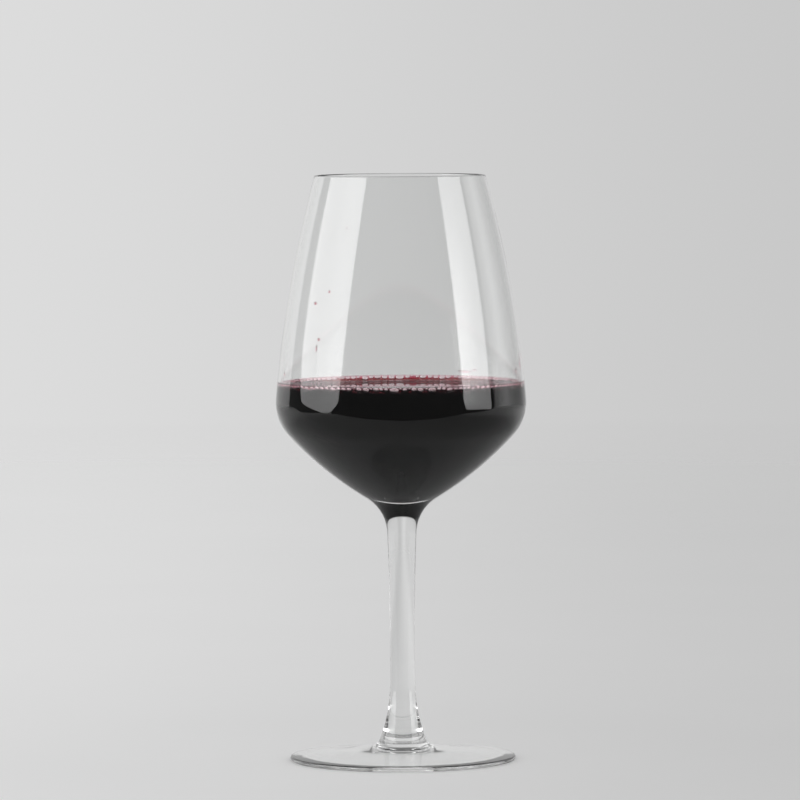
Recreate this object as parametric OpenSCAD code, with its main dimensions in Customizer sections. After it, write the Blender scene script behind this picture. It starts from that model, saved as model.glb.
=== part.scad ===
// A stemmed tulip glass filled with red wine to just above its widest point.
//
// Both pieces are turned about Z. The origin is the centre of the foot, at
// the height of the surface it stands on, +Z is up and sizes are millimetres.
// Every outline is a chain of arcs that meet tangentially.

/* [Overall] */
// Height from the foot to the rim
height = 225; // [190:1:270]
// Widest outside diameter of the bowl
bowl_d = 96.2; // [80:0.1:116]
// Outside diameter of the rim
rim_d = 65.8; // [54:0.1:79]
// Diameter of the foot
foot_d = 86.8; // [72:0.1:105]

/* [Bowl] */
// Height of the neck, where the bowl starts, above the surface
neck_z = 87; // [72:1:104]
// Height of the widest point above the neck
shoulder_h = 51; // [42:1:61]
// Radius that rounds the bowl at its widest point
shoulder_r = 19; // [15:0.5:23]
// Radius of the long curve from the widest point up to the rim
side_r = 470; // [380:5:560]
// Radius of the curve under the bowl
under_r = 132; // [110:1:160]
// Wall thickness from the rim down to the widest point
wall = 1.1; // [0.9:0.1:1.4]

/* [Inside of the bowl] */
// Height of the lowest point inside above the neck
floor_h = 16; // [13:0.1:19]
// Radius that rounds the lowest point inside
floor_r = 13; // [10:0.5:16]
// Radius of the inside curve between the floor and the widest point
inner_under_r = 110; // [90:1:132]

/* [Stem] */
// Diameter of the stem at its narrowest
stem_d = 9.6; // [8:0.1:12]
// Height of the narrowest point of the stem above the surface
waist_z = 46; // [38:1:55]
// Radius of the slow taper along the stem
taper_r = 1040; // [860:10:1250]
// Radius of the hollow curve between the stem and the bowl
neck_r = 16.3; // [13:0.1:19]
// Radius of the flare at the lower end of the stem
flare_r = 58; // [48:1:70]
// Height at which that flare starts
flare_z = 29; // [24:1:34]

/* [Foot] */
// Thickness of the foot at its edge
foot_edge = 1.8; // [1.5:0.1:2.2]
// Height of the foot's upper side where it meets the stem
hub_h = 5.2; // [4.4:0.1:6.2]
// Radius of the hollow curve between the foot and the stem
hub_r = 4; // [3.3:0.1:4.8]
// Radius of the slightly hollow upper side of the foot
foot_top_r = 420; // [350:10:500]
// Thickness of the foot where its underside runs parallel to its upper side
foot_thick = 2.1; // [2:0.05:2.5]
// Radius of the dome in the middle of the underside
dome_r = 150; // [125:5:180]

/* [Wine] */
// Depth of the wine above the lowest point inside
wine_depth = 40.5; // [33:0.5:49]
// Clearance between the wine and the wall
wine_clearance = 0.02; // [0.01:0.01:0.1]

/* [Hidden] */
$fn = 96;
// How far a straight facet of an outline may lie inside its arc
arc_tol = 0.03;

// An arc is [centre, radius]. Its point in the direction n is centre + radius * n,
// where n leads out of the glass or out of its inside. A hollow curve, with its
// centre outside, has a negative radius.
floor_z = neck_z + floor_h;
lip = [[rim_d / 2 - wall / 2, height - wall / 2], wall / 2];
shoulder = [[bowl_d / 2 - shoulder_r, neck_z + shoulder_h], shoulder_r];
side = [touching(shoulder, lip, side_r), side_r];
taper = [[stem_d / 2 + taper_r, waist_z], -taper_r];
neck = [[touching_r(taper, neck_r, neck_z), neck_z], -neck_r];
under = [touching(neck, shoulder, under_r), under_r];
flare = [[touching_r(taper, flare_r, flare_z), flare_z], -flare_r];
hub = [[touching_r(flare, hub_r, hub_h + hub_r), hub_h + hub_r], -hub_r];
edge = [[foot_d / 2 - foot_edge / 2, foot_edge / 2], foot_edge / 2];
foot_top = [touching(hub, edge, -foot_top_r), -foot_top_r];
inner_floor = [[0, floor_z + floor_r], floor_r];
inner_shoulder = [shoulder[0], shoulder_r - wall];
inner_side = [side[0], side_r - wall];
inner_under = [touching(inner_floor, inner_shoulder, inner_under_r), inner_under_r];
foot_under = [foot_top[0], foot_top_r + foot_thick];
dome = [[0, foot_under[0][1] - sqrt(pow(foot_under[1] + dome_r, 2) - pow(foot_under[0][0], 2))], -dome_r];

// Centre of an arc of radius r that touches arcs a and b, to the left of the way from a to b
function touching(a, b, r) =
    let (
        way = b[0] - a[0],
        dist = norm(way),
        reach_a = abs(r - a[1]),
        reach_b = abs(r - b[1]),
        along = (reach_a * reach_a - reach_b * reach_b + dist * dist) / (2 * dist),
        across = sqrt(reach_a * reach_a - along * along),
        unit = way / dist
    )
    a[0] + along * unit + across * [-unit[1], unit[0]];

// Distance from the axis of the centre of a hollow curve of radius r, at height z,
// that touches the larger hollow curve a from inside
function touching_r(a, r, z) =
    a[0][0] - sqrt(pow(-a[1] - r, 2) - pow(z - a[0][1], 2));

// Direction of the point where arcs a and b touch
function meeting(a, b) =
    let (n = (b[0] - a[0]) / (a[1] - b[1])) atan2(n[1], n[0]);

// Points of an arc from direction d0 to direction d1. The radius is rounded up for the
// step, so that an arc and its copy moved by a clearance have the same number of facets.
function arc_points(arc, d0, d1) =
    let (
        step = 2 * acos(1 - arc_tol / ceil(abs(arc[1]))),
        count = max(2, ceil(abs(d1 - d0) / step))
    )
    [for (i = [0:count]) let (d = d0 + (d1 - d0) * i / count) arc[0] + arc[1] * [cos(d), sin(d)]];

// Points of a chain of touching arcs, from direction d0 on the first to d1 on the last
function chain_points(arcs, d0, d1) =
    let (
        last = len(arcs) - 1,
        turns = [d0, for (i = [0:last - 1]) meeting(arcs[i], arcs[i + 1]), d1]
    )
    [
        for (i = [0:last])
            let (points = arc_points(arcs[i], turns[i], turns[i + 1]))
                for (k = [(i == 0 ? 0 : 1):len(points) - 1]) points[k]
    ];

// Arcs of the inside, from the rim down, all moved inwards by a clearance
function inner_arcs(clearance) =
    [for (arc = [inner_side, inner_shoulder, inner_under, inner_floor]) [arc[0], arc[1] - clearance]];

// Direction in which the side reaches the lip
rim_turn = meeting(lip, side);
// Direction in which the underside comes down to the surface
ring_turn = asin(foot_under[0][1] / foot_under[1]) - 180;

// Outline of the glass, from its lip down the outside and back up the inside
module glass_outline() {
    outside = chain_points(
        [lip, side, shoulder, under, neck, taper, flare, hub, foot_top, edge], rim_turn + 180, -90
    );
    hollow = chain_points([foot_under, dome], ring_turn, -90);
    inside = chain_points(inner_arcs(0), rim_turn, -90);
    polygon([
        each outside,
        each hollow,
        for (i = [len(inside) - 1:-1:1]) inside[i]
    ]);
}

// Outline of what the bowl can hold, up to the rim
module inside_outline(clearance) {
    inside = chain_points(inner_arcs(clearance), rim_turn, -90);
    polygon([each inside, [0, inside[0][1]]]);
}

// Bowl, stem and foot, drawn out of one piece of clear glass
module glass() {
    color([0.88, 0.92, 0.93, 0.35])
        rotate_extrude() glass_outline();
}

// The wine, up to its level
module wine() {
    color([0.22, 0.02, 0.05])
        rotate_extrude()
            intersection() {
                inside_outline(wine_clearance);
                square([bowl_d, floor_z + wine_depth]);
            }
}

glass();
wine();
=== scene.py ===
# %% [markdown]
# # A glass of red wine
# This lesson dresses a fixed CAD model of a stemmed glass with wine in it. Glass and wine are
# see-through, so almost all of their look comes from true shapes, true refraction and what
# stands around them to be reflected. The CAD frame comes first, because nothing here may
# change its size.

# %% Load the fixed frame
import math
import random
import bpy
import numpy as np
from mathutils import Matrix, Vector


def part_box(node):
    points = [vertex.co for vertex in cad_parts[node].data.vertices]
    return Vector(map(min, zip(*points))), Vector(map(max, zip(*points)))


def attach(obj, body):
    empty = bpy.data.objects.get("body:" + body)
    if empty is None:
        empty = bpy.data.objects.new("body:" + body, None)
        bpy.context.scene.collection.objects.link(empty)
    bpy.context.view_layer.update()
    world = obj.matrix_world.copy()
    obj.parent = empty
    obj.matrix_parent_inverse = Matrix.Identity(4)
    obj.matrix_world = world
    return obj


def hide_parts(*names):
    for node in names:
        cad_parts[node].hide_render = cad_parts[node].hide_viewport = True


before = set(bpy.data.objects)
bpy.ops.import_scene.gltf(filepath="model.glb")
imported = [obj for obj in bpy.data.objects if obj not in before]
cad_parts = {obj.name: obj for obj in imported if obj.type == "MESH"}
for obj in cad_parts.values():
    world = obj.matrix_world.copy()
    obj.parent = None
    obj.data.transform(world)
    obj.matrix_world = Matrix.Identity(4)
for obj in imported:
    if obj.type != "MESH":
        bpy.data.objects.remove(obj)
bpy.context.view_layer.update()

MM = 0.001
glass_low, glass_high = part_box("glass")
wine_low, wine_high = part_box("wine")
height = glass_high.z / MM
bowl_r = glass_high.x / MM
level = wine_high.z / MM
floor_z = wine_low.z / MM
print(f"glass {height:.1f} mm tall, {2 * bowl_r:.1f} mm across, wine level at {level:.1f} mm")

# %% [markdown]
# ## The camera
# A long lens from a little over two metres keeps the sides of the glass straight. It stands
# slightly above the rim and looks down by a few degrees, so the rim closes to a thin line
# while the foot opens to an ellipse. It comes first because fine detail is only needed at
# the scale that it shows.

# %% Camera
camera_distance = 2.300
camera_height = 0.2702
camera_down = math.radians(3.275)
camera_roll = math.radians(0.33)
camera_aside = -0.0004
camera_data = bpy.data.cameras.new("camera")
camera_data.lens = 270
camera_data.sensor_width = 36
camera = bpy.data.objects.new("camera", camera_data)
bpy.context.scene.collection.objects.link(camera)
turn = Matrix.Rotation(math.pi / 2 - camera_down, 4, "X") @ Matrix.Rotation(-camera_roll, 4, "Z")
camera.matrix_world = Matrix.Translation((camera_aside, -camera_distance, camera_height)) @ turn
bpy.context.scene.camera = camera
print("camera looks down by", round(math.degrees(camera_down), 2), "degrees")

# %% [markdown]
# ## The outline of the glass
# A drawn glass has no corners: its outline is a chain of arcs that run into each other
# smoothly. Facets would show at once in the refraction, so the CAD outline is worked out
# again here from the same arcs, only much finer. Each arc is a centre and a radius in
# millimetres, in the plane of radius and height. A hollow arc has a negative radius. The
# underside of the foot runs parallel to its upper side, up to a shallow dome in the middle.

# %% Arcs that touch
def touching(a, b, radius):
    """Centre of an arc that touches arcs a and b, to the left of the way from a to b."""
    (ax, az), ra = a
    (bx, bz), rb = b
    dist = math.hypot(bx - ax, bz - az)
    reach_a, reach_b = abs(radius - ra), abs(radius - rb)
    along = (reach_a ** 2 - reach_b ** 2 + dist ** 2) / (2 * dist)
    across = math.sqrt(reach_a ** 2 - along ** 2)
    ux, uz = (bx - ax) / dist, (bz - az) / dist
    return ax + along * ux - across * uz, az + along * uz + across * ux


def touching_r(a, radius, z):
    """Distance from the axis of a hollow arc's centre, at height z, that touches hollow arc a."""
    (ax, az), ra = a
    return ax - math.sqrt((-ra - radius) ** 2 - (z - az) ** 2)


def meeting(a, b):
    """Direction, in degrees, of the point where two touching arcs meet."""
    (ax, az), ra = a
    (bx, bz), rb = b
    return math.degrees(math.atan2((bz - az) / (ra - rb), (bx - ax) / (ra - rb)))


def chain(arcs, first, last, spacing=1.3, turn_step=4.0):
    """Points (radius, height) along a chain of arcs, close enough to look smooth."""
    turns = [first] + [meeting(a, b) for a, b in zip(arcs, arcs[1:])] + [last]
    points = []
    for ((cx, cz), r), d0, d1 in zip(arcs, turns, turns[1:]):
        arc_length = abs(r * math.radians(d1 - d0))
        count = max(3, math.ceil(arc_length / spacing), math.ceil(abs(d1 - d0) / turn_step))
        for i in range(1 if points else 0, count + 1):
            d = math.radians(d0 + (d1 - d0) * i / count)
            points.append((cx + r * math.cos(d), cz + r * math.sin(d)))
    return points


# %% The arcs of this glass
wall = 1.1
neck_z = 87.0
rim_r = 32.9
stem_r = 4.8
foot_r = 43.4
edge_r = 0.9
lip = ((rim_r - wall / 2, height - wall / 2), wall / 2)
shoulder = ((bowl_r - 19, neck_z + 51), 19)
side = (touching(shoulder, lip, 470), 470)
taper = ((stem_r + 1040, 46), -1040)
neck = ((touching_r(taper, 16.3, neck_z), neck_z), -16.3)
under = (touching(neck, shoulder, 132), 132)
flare = ((touching_r(taper, 58, 29), 29), -58)
hub_r = 4
hub_z = 5.2 + hub_r
hub = ((touching_r(flare, hub_r, hub_z), hub_z), -hub_r)
edge = ((foot_r - edge_r, edge_r), edge_r)
foot_top = (touching(hub, edge, -420), -420)
foot_thick = 2.1
foot_under = (foot_top[0], foot_thick - foot_top[1])
dome_r = 150
dome_z = foot_under[0][1] - math.sqrt((foot_under[1] + dome_r) ** 2 - foot_under[0][0] ** 2)
dome = ((0, dome_z), -dome_r)
inner_floor = ((0, floor_z + 13), 13)
inner_shoulder = (shoulder[0], shoulder[1] - wall)
inner_side = (side[0], side[1] - wall)
inner_under = (touching(inner_floor, inner_shoulder, 110), 110)
inner_arcs = [inner_floor, inner_under, inner_shoulder, inner_side]
outer_arcs = [lip, side, shoulder, under, neck, taper, flare, hub, foot_top, edge]
rim_turn = meeting(lip, side)
ring_turn = math.degrees(math.asin(foot_under[0][1] / foot_under[1])) - 180
inner_line = np.array(chain(inner_arcs, -90, rim_turn, spacing=0.2))
print("the wall leans in by", round(rim_turn, 1), "degrees at the rim")


def wall_r(z):
    """Radius of the inside of the wall at height z, above the widest point or below it."""
    return np.interp(z, inner_line[:, 1], inner_line[:, 0])


# %% [markdown]
# ## Turning outlines into meshes
# A screw modifier could spin an outline, but the line where the wine meets the wall isn't
# level: it rises over each bubble. So the meshes are made ring by ring in code, and a ring
# may have its own height at every angle. Two helpers join rings with faces: equal rings get
# quads, and a fine ring meets a coarse one with fans of triangles.

# %% Helpers that join rings
def ring_points(radii, heights, count):
    """Positions, in metres, of one ring. Radii and heights are numbers or one value per point."""
    angle = np.arange(count) * (2 * math.pi / count)
    r = np.broadcast_to(radii, (count,)) * MM
    z = np.broadcast_to(heights, (count,)) * MM
    return np.stack([r * np.cos(angle), r * np.sin(angle), z], axis=1)


def band(a, b):
    """Faces between two rings of vertex numbers, which face outwards on the way down."""
    n, m = len(a), len(b)
    if n == 1:
        return [(a[0], b[i], b[(i + 1) % m]) for i in range(m)]
    if m == 1:
        return [(a[i], b[0], a[(i + 1) % n]) for i in range(n)]
    if n == m:
        return [(a[i], b[i], b[(i + 1) % m], a[(i + 1) % n]) for i in range(n)]
    faces = []
    for i in range(min(n, m)):
        step = max(n, m) // min(n, m)
        half = step // 2
        if n > m:
            fine = [a[(i * step + k) % n] for k in range(step + 1)]
            near, far = b[i], b[(i + 1) % m]
            faces += [(fine[k], near, fine[k + 1]) for k in range(half)]
            faces += [(fine[k], far, fine[k + 1]) for k in range(half, step)]
            faces.append((fine[half], near, far))
        else:
            fine = [b[(i * step + k) % m] for k in range(step + 1)]
            near, far = a[i], a[(i + 1) % n]
            faces += [(near, fine[k], fine[k + 1]) for k in range(half)]
            faces += [(far, fine[k], fine[k + 1]) for k in range(half, step)]
            faces.append((near, fine[half], far))
    return faces


def lathe(rings):
    """Vertices, and one list of faces for each gap between rings, from arrays of ring positions."""
    numbers, start = [], 0
    for ring in rings:
        numbers.append(list(range(start, start + len(ring))))
        start += len(ring)
    return np.concatenate(rings), [band(a, b) for a, b in zip(numbers, numbers[1:])]


def make_piece(name, vertices, faces, materials, face_slots=None):
    """A smooth-shaded mesh object in the scene."""
    mesh = bpy.data.meshes.new(name)
    mesh.from_pydata([tuple(v) for v in vertices], [], faces)
    for material in materials:
        mesh.materials.append(material)
    if face_slots is not None:
        mesh.polygons.foreach_set("material_index", face_slots)
    mesh.shade_smooth()
    piece = bpy.data.objects.new(name, mesh)
    bpy.context.scene.collection.objects.link(piece)
    print(f"{name}: {len(mesh.vertices)} vertices, {len(mesh.polygons)} faces")
    return piece


# %% [markdown]
# ## Bubbles at the edge of the wine
# Freshly poured wine keeps a ring of bubbles against the glass. Each one is pressed flat on
# the wall, sits in the wine that climbs there, and is roofed by a film of wine. They could be
# separate spheres, but then the wine would still be inside them. Here a bubble is a true
# hollow in the wine, and the wine's own surface swells over it, so that light meets film, air
# and glass in the right order. Sizes are uneven: a few large ones are listed, and the
# gaps are filled at random from a fixed seed.

# %% Places and sizes of the bubbles
rng = random.Random(7)
contact_h = 2.4
film = 0.02
shore_r = float(wall_r(level))
around = 2 * math.pi * shore_r
bubbles = []


def add_bubble(u, half_w, half_h, rise):
    """One bubble at the distance u along the wall, with its centre that far above the level."""
    bubbles.append({"u": u % around, "a": half_w, "b": half_h, "c": 0.85 * half_w, "z": level + rise})


def has_room(u, a, b, z):
    """True where a new bubble would leave a film's width to all the others."""
    for other in bubbles:
        gap = abs((u - other["u"] + around / 2) % around - around / 2)
        width, tall = a + other["a"] + 2.2 * film, b + other["b"] + 2.2 * film
        if math.hypot(gap / width, (z - other["z"]) / tall) < 1:
            return False
    return True


def try_bubble(u, half_w, rise_of):
    """Add a bubble if it has room, and say so. rise_of gives its centre's height from its half height."""
    half_h = half_w * rng.uniform(0.72, 0.9)
    rise = rise_of(half_h)
    fits = has_room(u % around, half_w, half_h, level + rise)
    if fits:
        add_bubble(u, half_w, half_h, rise)
    return fits


# %% [markdown]
# The row is filled in three rounds: the large bubbles as listed, then medium ones side by side,
# and last small ones wherever a gap is left. Angles count from the camera's side.

# %% Fill the row
large = [
    (-11.5, 1.35), (-3.2, 1.95), (14.6, 1.7), (-20.0, 1.25), (6.0, 1.1), (-9.5, 1.0),
    (180.5, 1.85), (191.5, 1.5), (169.0, 1.45), (204.0, 1.25), (156.0, 1.2), (174.6, 0.55),
]
start_u = -math.pi / 2 * shore_r
for angle, half_w in large:
    half_h = 0.6 * half_w if half_w > 1.3 else 0.75 * half_w
    add_bubble(start_u + math.radians(angle) * shore_r, half_w, half_h, contact_h - half_h)
u = 0.0
while u < around:
    half_w = min(max(rng.gauss(1.1, 0.22), 0.6), 1.6)
    fitted = try_bubble(u + half_w, half_w, lambda half_h: contact_h - 0.1 - half_h + rng.gauss(0, 0.1))
    u += 2 * half_w if fitted else 0.1
for attempt in range(4000):
    half_w = rng.uniform(0.35, 0.8) if attempt < 1500 else rng.uniform(0.2, 0.45)
    try_bubble(rng.uniform(0, around), half_w, lambda half_h: rng.uniform(0.1, contact_h - half_h))
print(len(bubbles), "bubbles, the largest", 2 * max(b["a"] for b in bubbles), "mm wide")

# %% [markdown]
# ## The surface of the wine
# Wine wets glass and climbs it by a couple of millimetres. The height of that curve follows
# from surface tension, so its formula is used instead of a rounded guess. Seen from a point
# at the wall just under the level, every direction meets the surface once, curve and bubbles
# alike. The surface is therefore stored as a distance for each direction, like a small
# planet's relief, and a smooth maximum blends each bubble into the curve.

# %% The climbing edge, seen from a point under it
capillary = 2.27
bite = 0.05
pivot_z = level - 2.5
pivot_r = float(wall_r(pivot_z)) + bite
lean = math.atan2(float(wall_r(pivot_z) - wall_r(level + 3)), level + 3 - pivot_z)


def climb_distance(z):
    """Distance from the wall at which the curve is z above the level."""
    span = 2 * capillary
    def run(h):
        return capillary * np.arccosh(span / h) - np.sqrt(span ** 2 - h ** 2)
    return run(z) - run(contact_h)


climb_z = np.geomspace(contact_h, 0.001, 400)
climb_r = wall_r(level + climb_z) + bite - climb_distance(climb_z)
climb_turn = np.arctan2(pivot_r - climb_r, level + climb_z - pivot_z)
climb_reach = np.hypot(pivot_r - climb_r, level + climb_z - pivot_z)
near_turns = np.linspace(lean, math.radians(36), 25)
far_turns = np.radians([38, 41, 45, 50, 56, 62, 68, 74, 79])
turns = np.concatenate([near_turns, far_turns])
base_reach = np.where(
    turns < climb_turn[-1], np.interp(turns, climb_turn, climb_reach), (level - pivot_z) / np.cos(turns)
)
print(f"the wine climbs the wall by {contact_h} mm and leans on it at {math.degrees(lean):.1f} degrees")

# %% Relief of the surface with its bubbles
FINE = 1440
COARSE = 360
blend_width = 0.12
fine_u = np.arange(FINE) * (2 * math.pi / FINE) * shore_r


def bubble_reach(b, centre_r, across, grow):
    """How far each direction from the pivot runs until it leaves the bubble b."""
    c, h = b["c"] + grow, b["b"] + grow
    left = 1 - (across / (b["a"] + grow)) ** 2
    dr, dz = -np.sin(turns)[None, :] / c, np.cos(turns)[None, :] / h
    pr, pz = (pivot_r - centre_r) / c, (pivot_z - b["z"]) / h
    qa = dr ** 2 + dz ** 2
    qb = dr * pr + dz * pz
    under_root = qb ** 2 - qa * (pr ** 2 + pz ** 2 - left[:, None])
    root = np.sqrt(np.abs(under_root)) / qa
    return -qb / qa + np.where(under_root > 0, root, -2.5 * root)


def centre_radius(b):
    """Distance from the axis of a bubble's centre: most of its outer part is flattened by the wall."""
    return float(wall_r(b["z"])) - 0.35 * b["c"]


reach = np.tile(base_reach, (FINE, 1))
for b in bubbles:
    across = (fine_u - b["u"] + around / 2) % around - around / 2
    close = np.abs(across) < b["a"] + 0.6
    other = bubble_reach(b, centre_radius(b), across[close], film)
    mine = reach[close]
    overlap = np.maximum(blend_width - np.abs(mine - other), 0) / blend_width
    reach[close] = np.maximum(mine, other) + overlap ** 2 * blend_width / 4
contact_z = pivot_z + reach[:, 0] * math.cos(lean)
print("the contact line runs from", round(contact_z.min(), 2), "to", round(contact_z.max(), 2), "mm")

# %% [markdown]
# ## Materials for glass and wine
# Clear glass is the plain case: full transmission, no roughness worth the name, index 1.5.
# Faint smudges and ripples keep it from looking like a formula. Where wine wets the glass
# there is no air between them, so the inside of the glass is left out there (a second, fully
# transparent material), and the wine reaches just into the wall. The step from glass to wine
# is weak, and its index is the ratio of the two, while the step from wine to air has wine's
# own index. The colour of wine comes from depth, so it is absorbed in the volume: a film is
# pink, a centimetre is dark red, and the full bowl is nearly black.

# %% Node helpers
def new_material(name):
    """An empty node material with its output and a Principled shader."""
    material = bpy.data.materials.new(name)
    material.use_nodes = True
    nodes = material.node_tree.nodes
    nodes.clear()
    out = nodes.new("ShaderNodeOutputMaterial")
    shader = nodes.new("ShaderNodeBsdfPrincipled")
    material.node_tree.links.new(shader.outputs["BSDF"], out.inputs["Surface"])
    return material, shader, out


def math_node(tree, operation, a, b=0.0, clamp=False):
    """A Math node. a and b are sockets or numbers."""
    node = tree.nodes.new("ShaderNodeMath")
    node.operation = operation
    node.use_clamp = clamp
    for socket, value in zip(node.inputs, (a, b)):
        if isinstance(value, bpy.types.NodeSocket):
            tree.links.new(value, socket)
        else:
            socket.default_value = value
    return node.outputs[0]


def times(tree, a, b):
    """a * b."""
    return math_node(tree, "MULTIPLY", a, b)


def line(tree, value, start, slope):
    """start + slope * value."""
    return math_node(tree, "ADD", times(tree, value, slope), start)


def opposite(tree, value):
    """1 - value."""
    return math_node(tree, "SUBTRACT", 1.0, value)


def ramp(tree, value, at_zero, at_one):
    """0 at the first value, 1 at the second, smooth between."""
    node = tree.nodes.new("ShaderNodeMapRange")
    node.interpolation_type = "SMOOTHSTEP"
    node.inputs["From Min"].default_value = at_zero
    node.inputs["From Max"].default_value = at_one
    tree.links.new(value, node.inputs["Value"])
    return node.outputs["Result"]


# %% A node group for the slight unevenness of drawn glass and still wine
def ripple_group():
    """Group that puts out a smudge mask and a rippled normal, both from noise in object space."""
    group = bpy.data.node_groups.new("smudge_and_ripple", "ShaderNodeTree")
    for name, value in (("Smudge Scale", 40.0), ("Ripple Scale", 60.0), ("Ripple", 0.01)):
        socket = group.interface.new_socket(name, in_out="INPUT", socket_type="NodeSocketFloat")
        socket.default_value = value
    group.interface.new_socket("Smudge", in_out="OUTPUT", socket_type="NodeSocketFloat")
    group.interface.new_socket("Normal", in_out="OUTPUT", socket_type="NodeSocketVector")
    given = group.nodes.new("NodeGroupInput")
    out = group.nodes.new("NodeGroupOutput")
    place = group.nodes.new("ShaderNodeTexCoord")
    smudge = group.nodes.new("ShaderNodeTexNoise")
    smudge.inputs["Detail"].default_value = 4
    ripple = group.nodes.new("ShaderNodeTexNoise")
    ripple.inputs["Detail"].default_value = 1
    bump = group.nodes.new("ShaderNodeBump")
    bump.inputs["Distance"].default_value = MM
    link = group.links.new
    link(place.outputs["Object"], smudge.inputs["Vector"])
    link(place.outputs["Object"], ripple.inputs["Vector"])
    link(given.outputs["Smudge Scale"], smudge.inputs["Scale"])
    link(given.outputs["Ripple Scale"], ripple.inputs["Scale"])
    link(given.outputs["Ripple"], bump.inputs["Strength"])
    link(ripple.outputs["Fac"], bump.inputs["Height"])
    mask = math_node(group, "SUBTRACT", smudge.outputs["Fac"], 0.5)
    mask = math_node(group, "MULTIPLY", mask, 4.0, clamp=True)
    link(mask, out.inputs["Smudge"])
    link(bump.outputs["Normal"], out.inputs["Normal"])
    return group


ripples = ripple_group()


def place_ripples(material, smudge_scale, ripple_scale, ripple):
    """The shared group, placed in a material with its own values."""
    node = material.node_tree.nodes.new("ShaderNodeGroup")
    node.node_tree = ripples
    node.inputs["Smudge Scale"].default_value = smudge_scale
    node.inputs["Ripple Scale"].default_value = ripple_scale
    node.inputs["Ripple"].default_value = ripple
    return node


# %% Clear glass, and the glass that wine wets
GLASS_INDEX = 1.5
WINE_INDEX = 1.34


def clear_glass():
    """Polished glass with faint smudges. Bowl and stem keep a little more light than the foot: the foot's
    clearer tint is painted light that keeps it pale.
    """
    material, shader, out = new_material("clear_glass")
    tree = material.node_tree
    uneven = place_ripples(material, smudge_scale=35, ripple_scale=25, ripple=0.02)
    rough = times(tree, uneven.outputs["Smudge"], 0.012)
    place = tree.nodes.new("ShaderNodeTexCoord")
    parts = tree.nodes.new("ShaderNodeSeparateXYZ")
    tree.links.new(place.outputs["Object"], parts.inputs["Vector"])
    # Painted light: the foot, below 10 mm, gets a clearer tint than bowl and stem above 30 mm, so that it
    # looks paler.
    above_foot = ramp(tree, parts.outputs["Z"], 10 * MM, 30 * MM)
    tint = tree.nodes.new("ShaderNodeMix")
    tint.data_type = "RGBA"
    tint.inputs["A"].default_value = (0.992, 0.996, 0.993, 1)
    tint.inputs["B"].default_value = (0.956, 0.96, 0.958, 1)
    tree.links.new(above_foot, tint.inputs["Factor"])
    tree.links.new(tint.outputs["Result"], shader.inputs["Base Color"])
    tree.links.new(rough, shader.inputs["Roughness"])
    tree.links.new(uneven.outputs["Normal"], shader.inputs["Normal"])
    shader.inputs["IOR"].default_value = GLASS_INDEX
    shader.inputs["Transmission Weight"].default_value = 1.0
    return material


def wetted_glass():
    """The inside of the glass under the wine, where no surface shows."""
    material, shader, out = new_material("wetted_glass")
    shader.inputs["Alpha"].default_value = 0.0
    return material


glass_material = clear_glass()
wetted_material = wetted_glass()
print("glass bends light with index", GLASS_INDEX, "and wine with", WINE_INDEX)

# %% Red wine
wine_absorption = 2600.0
wine_pass = (0.835, 0.0, 0.23)


def red_wine():
    """Clear liquid that takes its colour from depth. A face value says where it meets glass."""
    material, shader, out = new_material("red_wine")
    tree = material.node_tree
    uneven = place_ripples(material, smudge_scale=90, ripple_scale=120, ripple=0.02)
    tint = tree.nodes.new("ShaderNodeMix")
    tint.data_type = "RGBA"
    tint.inputs["A"].default_value = (0.99, 0.95, 0.955, 1)
    tint.inputs["B"].default_value = (0.97, 0.90, 0.91, 1)
    tree.links.new(uneven.outputs["Smudge"], tint.inputs["Factor"])
    tree.links.new(tint.outputs["Result"], shader.inputs["Base Color"])
    at_glass = tree.nodes.new("ShaderNodeAttribute")
    at_glass.attribute_name = "at_glass"
    less = times(tree, at_glass.outputs["Fac"], WINE_INDEX / GLASS_INDEX - WINE_INDEX)
    index = math_node(tree, "ADD", less, WINE_INDEX)
    tree.links.new(index, shader.inputs["IOR"])
    shader.inputs["Roughness"].default_value = 0.0
    shader.inputs["Transmission Weight"].default_value = 1.0
    depth = tree.nodes.new("ShaderNodeVolumeAbsorption")
    depth.inputs["Color"].default_value = (*wine_pass, 1)
    depth.inputs["Density"].default_value = wine_absorption
    tree.links.new(depth.outputs["Volume"], out.inputs["Volume"])
    return material


wine_material = red_wine()

# %% [markdown]
# ## The glass
# Bowl, stem and foot are drawn out of one lump, so they are one mesh. Its rings start in the
# middle of the inside, go up the wall, over the lip, down the outside and under the foot.
# Near the wine the inner rings follow the contact line, so that the wetted part ends exactly
# where the wine does.

# %% Build the glass
film_edge = 0.09
wet_line = contact_z[:: FINE // COARSE] - film_edge
mean_line = float(wet_line.mean())
inside = chain(inner_arcs, -90, rim_turn)
below = [p for p in inside if p[1] < mean_line - 0.5]
above = [p for p in inside if p[1] > mean_line + 0.5]
inside = below + [(float(wall_r(mean_line)), mean_line)] + above
glass_rings = [ring_points(0, inside[0][1], 1)]
for r, z in inside[1:]:
    moved = z + (wet_line - mean_line) * math.exp(-((z - mean_line) / 2.5) ** 2)
    near_line = abs(z - mean_line) < 8
    glass_rings.append(ring_points(wall_r(moved) if near_line else r, moved if near_line else z, COARSE))
for r, z in chain(outer_arcs, rim_turn + 180, -90)[1:]:
    glass_rings.append(ring_points(r, z, COARSE))
for r, z in chain([foot_under, dome], ring_turn, -90):
    glass_rings.append(ring_points(r, z, COARSE) if r > 0.001 else ring_points(0, z, 1))
vertices, bands = lathe(glass_rings)
slots = [1 if i < len(below) else 0 for i, faces in enumerate(bands) for _ in faces]
glass = make_piece("wine_glass", vertices, sum(bands, []), [glass_material, wetted_material], slots)
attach(glass, "root")
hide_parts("glass")

# %% [markdown]
# ## The wine
# The wine's mesh starts in the middle of its surface, runs out over the relief to the wall
# and down the inside of the glass to the bottom. The hollows of the bubbles are closed shells
# inside it whose faces look inwards, because there the outside of the wine is the air in
# the bubble.

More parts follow.
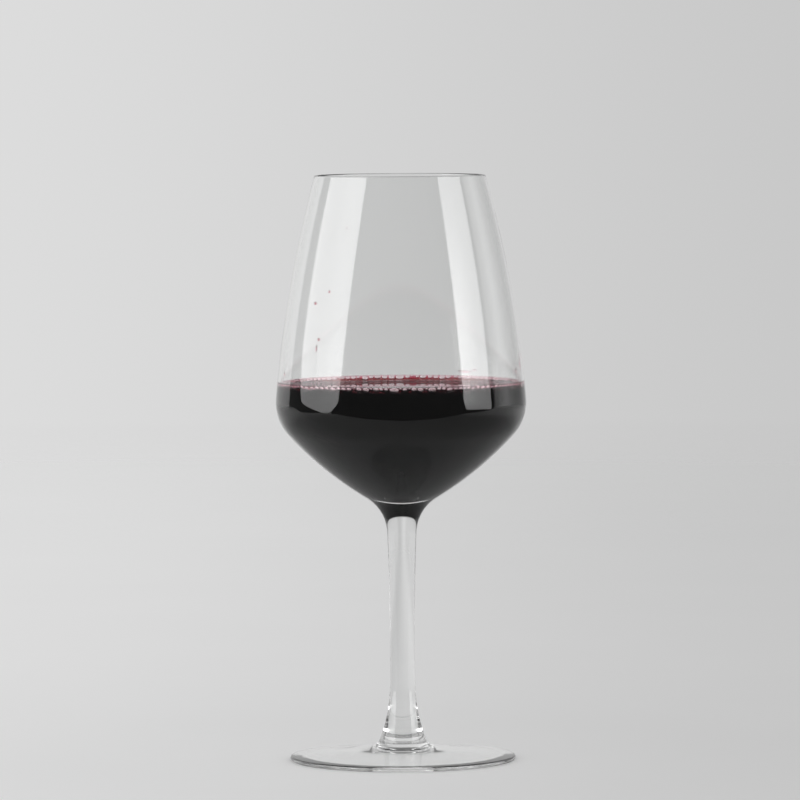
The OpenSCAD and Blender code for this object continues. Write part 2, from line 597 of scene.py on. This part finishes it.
# %% Rings of the wine, from the middle of its surface to the bottom
wine_rings = [ring_points(0, level, 1)]
outermost = pivot_r - reach[0, -1] * math.sin(turns[-1])
for r in np.linspace(0, outermost, 10)[1:-1]:
    wine_rings.append(ring_points(r, level, COARSE))
for k in range(len(turns) - 1, -1, -1):
    heights = pivot_z + reach[:, k] * math.cos(turns[k])
    wine_rings.append(ring_points(pivot_r - reach[:, k] * math.sin(turns[k]), heights, FINE))
surface_bands = len(wine_rings) - 1
for share in np.linspace(1, 0, 6)[1:]:
    heights = pivot_z + (contact_z - pivot_z) * share
    wine_rings.append(ring_points(wall_r(heights) + bite, heights, FINE))
wet_arcs = [(centre, radius + bite) for centre, radius in inner_arcs]
for r, z in reversed(chain(wet_arcs, -90, rim_turn, spacing=1.5)):
    if z < pivot_z - 0.5:
        wine_rings.append(ring_points(r, z, COARSE if r > 0.001 else 1))
vertices, bands = lathe(wine_rings)
faces = sum(bands, [])
at_glass = [0 if i < surface_bands else 1 for i, part in enumerate(bands) for _ in part]

# %% Hollows of the bubbles
def hollow_shell(b, start, around_count, down_count):
    """Vertices and inward faces of one bubble's air, flattened where it meets the wall."""
    centre_r = centre_radius(b)
    points = []
    for i in range(down_count + 1):
        polar = math.pi * i / down_count
        for j in range(1 if i in (0, down_count) else around_count):
            spin = 2 * math.pi * j / around_count
            w = b["c"] * math.sin(polar) * math.cos(spin)
            across = b["a"] * math.sin(polar) * math.sin(spin)
            z = b["z"] + b["b"] * math.cos(polar)
            r = min(centre_r + w, float(wall_r(z)) + bite - film)
            angle = (b["u"] + across) / shore_r
            points.append((r * MM * math.cos(angle), r * MM * math.sin(angle), z * MM))
    rings, index = [], start
    for i in range(down_count + 1):
        count = 1 if i in (0, down_count) else around_count
        rings.append(list(range(index, index + count)))
        index += count
    shell = [f for a, b_ in zip(rings, rings[1:]) for f in band(a, b_)]
    return points, [tuple(reversed(f)) for f in shell]


def shell_counts(half_w):
    """How many points a hollow has around and down, by its size."""
    if half_w > 1.3:
        return 28, 16
    if half_w > 0.7:
        return 18, 10
    return 10, 6


all_vertices = [tuple(v) for v in vertices]
for b in bubbles:
    points, shell = hollow_shell(b, len(all_vertices), *shell_counts(b["a"]))
    all_vertices += points
    faces += shell
    at_glass += [0] * len(shell)
wine = make_piece("red_wine", all_vertices, faces, [wine_material])
value = wine.data.attributes.new("at_glass", "FLOAT", "FACE")
value.data.foreach_set("value", [float(v) for v in at_glass])
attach(wine, "root")
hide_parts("wine")

# %% [markdown]
# ## Drops and traces on the wall
# Pouring leaves a few flat drops on the inside of the bowl, and faint traces of wine just
# above the edge. They are thin closed shells of the same wine that bite a hair into the wall.
# Each is given by its angle from the camera's side, its height above the wine, its half
# width, half height and thickness in millimetres.

# %% Build the drops and traces
drop_bite = 0.03
traces = [
    (-49, 33.5, 0.7, 0.6, 0.3), (-40, 38, 0.55, 0.5, 0.25), (-44, 20, 0.6, 0.55, 0.3),
    (-45, 16.5, 0.45, 1.3, 0.12), (-33, 62, 0.3, 0.3, 0.3), (147, 3.9, 3.4, 0.5, 0.1),
    (141, 4.6, 1.2, 0.35, 0.1), (78, 9, 0.35, 2.6, 0.12), (84, 12, 0.3, 2.0, 0.12),
    (70, 7, 0.5, 0.9, 0.12), (-72, 6, 0.4, 0.9, 0.12),
]


def wall_drop(angle, z, half_w, half_h, thick):
    """Rings of a flat drop on the wall, from its middle out to its edge and back inside the wall."""
    turn = math.radians(angle - 90)
    shape = [(0.3, 0.9), (0.6, 0.65), (0.85, 0.3), (1.0, 0.0), (0.97, -1)]
    rings = []
    for share, lift in [(0, 1), *shape, (0, -1)]:
        count = 1 if share == 0 else 20
        ring = []
        for i in range(count):
            part = 2 * math.pi * i / count
            place_z = z + half_h * share * math.sin(part)
            inward = lift * (thick if lift > 0 else drop_bite)
            r = float(wall_r(place_z)) - inward
            at = turn - half_w * share * math.cos(part) / r
            ring.append((r * math.cos(at) * MM, r * math.sin(at) * MM, place_z * MM))
        rings.append(np.array(ring))
    return rings


drop_vertices, drop_faces = [], []
for angle, above_wine, half_w, half_h, thick in traces:
    points, drop_bands = lathe(wall_drop(angle, level + above_wine, half_w, half_h, thick))
    start = len(drop_vertices)
    drop_vertices += [tuple(p) for p in points]
    drop_faces += [tuple(start + i for i in face) for faces in drop_bands for face in faces]
drops = make_piece("wine_traces", drop_vertices, drop_faces, [wine_material])
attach(drops, "root")

# %% [markdown]
# ## The studio
# Glass shows the room around it. The glass stands on a pale board, in front of a pale
# surround. A dark gap and a tall soft light stand at each side, and the room behind the camera
# is dark. Only reflections see the lights and the dark room in full, so that the glass keeps
# an even pale ground from every side. The world shader asks the light path which kind of ray
# has arrived. A ray that was mirrored inside the glass and leaves it low finds a paler room,
# which keeps the foot light. A shared group makes the light fall off slightly from left to
# right.
#
# The board's colour carries painted light in four ways. The shared fall-off is painted into it,
# lighter on the left. Mirrored in the bowl from above it is painted dimmer than seen along it,
# as a board lit from behind looks. It is painted slightly lighter near the foot, to cancel the
# shade of the wine overhead, which takes light away. And it has a painted glow under the foot,
# because little light is traced through glass onto what lies below.

# %% A node group for light that falls off from left to right
def fall_off_group():
    """Group that puts out a factor just above 1 on the left, just below 1 on the right."""
    group = bpy.data.node_groups.new("fall_off", "ShaderNodeTree")
    for name, value in (("Place", 0.0), ("Width", 1.0), ("Amount", 0.1)):
        socket = group.interface.new_socket(name, in_out="INPUT", socket_type="NodeSocketFloat")
        socket.default_value = value
    group.interface.new_socket("Factor", in_out="OUTPUT", socket_type="NodeSocketFloat")
    given = group.nodes.new("NodeGroupInput")
    out = group.nodes.new("NodeGroupOutput")
    share = math_node(group, "DIVIDE", given.outputs["Place"], given.outputs["Width"])
    share = math_node(group, "MINIMUM", math_node(group, "MAXIMUM", share, -1.0), 1.0)
    wave = math_node(group, "SINE", times(group, share, math.pi))
    change = times(group, wave, given.outputs["Amount"])
    factor = opposite(group, change)
    group.links.new(factor, out.inputs["Factor"])
    return group


fall_off = fall_off_group()


def place_fall_off(tree, place, width, amount):
    """The shared group in a node tree, fed by a socket that runs from left to right."""
    node = tree.nodes.new("ShaderNodeGroup")
    node.node_tree = fall_off
    node.inputs["Width"].default_value = width
    node.inputs["Amount"].default_value = amount
    tree.links.new(place, node.inputs["Place"])
    return node.outputs["Factor"]


# %% Floor
BOARD_GREY = 0.865
BOARD_CLOUDING = 0.02
NEAR_LIGHT = 0.09
NEAR_REACH = 0.09
PAINTED_SHADE_FROM_ABOVE = 0.42
FOOT_GLOW = 0.22
board_front = -0.27
board_edge = [
    (-0.62, board_front), (0.50, board_front), (0.61, -0.17), (0.86, -0.03), (1.46, 0.19), (4.0, 1.2),
    (4.0, 4.0), (-4.0, 4.0), (-4.0, 2.1), (-0.93, 0.35), (-0.66, 0.11),
]


def board_material():
    """Pale matt board with very faint clouding, which fades into the surround far from the glass. Its
    colour carries painted light: lighter on the left, lighter near the foot, dimmer when mirrored from
    above, and a painted glow under the foot.
    """
    material, shader, out = new_material("pale_board")
    tree = material.node_tree
    place = tree.nodes.new("ShaderNodeTexCoord")
    parts = tree.nodes.new("ShaderNodeSeparateXYZ")
    tree.links.new(place.outputs["Object"], parts.inputs["Vector"])
    far = tree.nodes.new("ShaderNodeVectorMath")
    far.operation = "LENGTH"
    tree.links.new(place.outputs["Object"], far.inputs[0])
    cloud = tree.nodes.new("ShaderNodeTexNoise")
    cloud.inputs["Scale"].default_value = 6
    tree.links.new(place.outputs["Object"], cloud.inputs["Vector"])
    grey = line(tree, cloud.outputs["Fac"], BOARD_GREY, BOARD_CLOUDING)
    # Painted light: the board's colour is lighter on the left and darker on the right, as the light falls
    # off.
    grey = times(tree, grey, place_fall_off(tree, parts.outputs["X"], 0.5, 0.12))
    # Painted light: the colour is lighter near the foot, to cancel the shade under the wine overhead.
    near = times(tree, far.outputs["Value"], 1 / NEAR_REACH)
    near = math_node(tree, "EXPONENT", times(tree, times(tree, near, near), -1))
    grey = math_node(tree, "ADD", grey, times(tree, near, NEAR_LIGHT))
    # Painted shade: seen mirrored in the glass from above, the board's colour is darker than seen along
    # it.
    angle = tree.nodes.new("ShaderNodeLayerWeight")
    angle.inputs["Blend"].default_value = 0.5
    path = tree.nodes.new("ShaderNodeLightPath")
    mirrored = math_node(tree, "GREATER_THAN", path.outputs["Glossy Depth"], 0.5)
    from_above = times(tree, ramp(tree, angle.outputs["Facing"], 0.84, 0.6), mirrored)
    grey = times(tree, grey, line(tree, from_above, 1.0, -PAINTED_SHADE_FROM_ABOVE))
    tree.links.new(grey, shader.inputs["Base Color"])
    tree.links.new(ramp(tree, far.outputs["Value"], 2.2, 0.8), shader.inputs["Alpha"])
    # Painted glow: the board emits light under the foot, though it is no lamp.
    under_foot = ramp(tree, far.outputs["Value"], (foot_r + 0.2) * MM, (foot_r - 1.9) * MM)
    glow = times(tree, under_foot, line(tree, from_above, FOOT_GLOW, -0.45 * FOOT_GLOW))
    tree.links.new(glow, shader.inputs["Emission Strength"])
    shader.inputs["Emission Color"].default_value = (1, 1, 1, 1)
    shader.inputs["Roughness"].default_value = 1.0
    shader.inputs["Specular IOR Level"].default_value = 0.0
    return material


air_gap = 0.05 * MM
corners = [(x, y, -air_gap) for x, y in board_edge]
floor = make_piece("floor", corners, [tuple(range(len(corners)))], [board_material()])

# %% World
def soft_step(tree, value, edge, width):
    """0 below the edge and 1 above it, over a soft width."""
    shifted = math_node(tree, "SUBTRACT", value, edge)
    scaled = math_node(tree, "DIVIDE", shifted, width)
    return math_node(tree, "ADD", scaled, 0.5, clamp=True)


def between(tree, value, low, high, width):
    """1 between two edges, which may be sockets."""
    inside = soft_step(tree, value, low, width)
    outside = soft_step(tree, value, high, width)
    return times(tree, inside, opposite(tree, outside))


def hot_spot(tree, across, up, middle, half):
    """A soft round glow in azimuth and elevation."""
    total = 0.0
    for value, m, h in zip((across, up), middle, half):
        off = math_node(tree, "DIVIDE", math_node(tree, "SUBTRACT", value, m), h)
        total = math_node(tree, "ADD", times(tree, off, off), total)
    return math_node(tree, "EXPONENT", times(tree, total, -1.0))


def choose(tree, mask, when_one, when_zero):
    """when_one where the mask is 1, when_zero where it is 0, and a blend between."""
    one = times(tree, mask, when_one)
    zero = times(tree, opposite(tree, mask), when_zero)
    return math_node(tree, "ADD", one, zero)


BACKDROP = 0.65
FILL = 0.74
ROOM = 0.12
ROOM_FROM_INSIDE = 0.45
world = bpy.data.worlds.new("studio")
bpy.context.scene.world = world
world.use_nodes = True
tree = world.node_tree
tree.nodes.clear()
world_out = tree.nodes.new("ShaderNodeOutputWorld")
background = tree.nodes.new("ShaderNodeBackground")
tree.links.new(background.outputs["Background"], world_out.inputs["Surface"])
direction = tree.nodes.new("ShaderNodeTexCoord")
parts = tree.nodes.new("ShaderNodeSeparateXYZ")
tree.links.new(direction.outputs["Generated"], parts.inputs["Vector"])
x, y, z = parts.outputs
azimuth = times(tree, math_node(tree, "ARCTAN2", x, times(tree, y, -1)), 180 / math.pi)
leftwards = times(tree, azimuth, -1)
elevation = times(tree, math_node(tree, "ARCSINE", z), 180 / math.pi)

# %% The soft light at each side
left_box = between(tree, leftwards, line(tree, elevation, 62.5, -0.53), 110, 0.8)
left_cut = line(tree, leftwards, 5 - 0.567 * 110, 0.567)
left_box = times(tree, left_box, soft_step(tree, elevation, left_cut, 0.8))
right_box = between(tree, azimuth, line(tree, elevation, 61, -0.22), 91.5, 0.8)
right_box = times(tree, right_box, soft_step(tree, elevation, -8, 0.8))
not_high = opposite(tree, soft_step(tree, elevation, 55, 4))
left_glow = line(tree, hot_spot(tree, leftwards, elevation, (60, 15), (25, 40)), 2.3, 1.2)
right_glow = line(tree, hot_spot(tree, azimuth, elevation, (60, 10), (18, 12)), 2.4, 2.2)
boxes = times(tree, math_node(tree, "ADD", left_box, right_box), not_high)
glow = choose(tree, left_box, left_glow, right_glow)

# %% The pale surround beside them
beside_left = soft_step(tree, leftwards, 125.5, 1.5)
beside_right = soft_step(tree, azimuth, 96, 3)
left_pale = line(tree, hot_spot(tree, leftwards, elevation, (126, 10), (25, 90)), 0.66, 0.35)
right_pale = line(tree, hot_spot(tree, azimuth, elevation, (111, 10), (11, 90)), 0.66, 0.7)
dim = times(tree, hot_spot(tree, azimuth, elevation, (142, 10), (14, 90)), 0.25)
right_pale = math_node(tree, "SUBTRACT", right_pale, dim)
below_dark = opposite(tree, soft_step(tree, elevation, 40, 10))
beside = times(tree, math_node(tree, "ADD", beside_left, beside_right), below_dark)
path = tree.nodes.new("ShaderNodeLightPath")
from_inside = math_node(tree, "GREATER_THAN", path.outputs["Transmission Depth"], 0.5)
from_inside = times(tree, from_inside, opposite(tree, soft_step(tree, elevation, 12, 8)))
room = choose(tree, from_inside, ROOM_FROM_INSIDE, ROOM)
studio = choose(tree, beside, choose(tree, beside_left, left_pale, right_pale), room)
studio = choose(tree, boxes, glow, studio)

# %% What each kind of ray sees
surround = times(tree, place_fall_off(tree, x, 0.2, 0.12), BACKDROP)
aside = math_node(tree, "ABSOLUTE", azimuth)
dark_gap = between(tree, aside, 103, 117, 1.5)
dark_above = soft_step(tree, elevation, 38, 4)
dark = math_node(tree, "MAXIMUM", dark_gap, dark_above)
unseen = opposite(tree, path.outputs["Is Camera Ray"])
through = choose(tree, times(tree, dark, unseen), ROOM, surround)
reflected = math_node(tree, "GREATER_THAN", path.outputs["Glossy Depth"], 0.5)
diffused = math_node(tree, "GREATER_THAN", path.outputs["Diffuse Depth"], 0.5)
strength = choose(tree, diffused, FILL, choose(tree, reflected, studio, through))
tree.links.new(strength, background.inputs["Strength"])
background.inputs["Color"].default_value = (1.0, 1.0, 1.0, 1)
print("the world's light is worked out by", len(tree.nodes), "nodes")

# %% How light is traced
scene = bpy.context.scene
scene.view_settings.view_transform = "Standard"
scene.cycles.max_bounces = 32
scene.cycles.transmission_bounces = 32
scene.cycles.glossy_bounces = 12
scene.cycles.transparent_max_bounces = 32
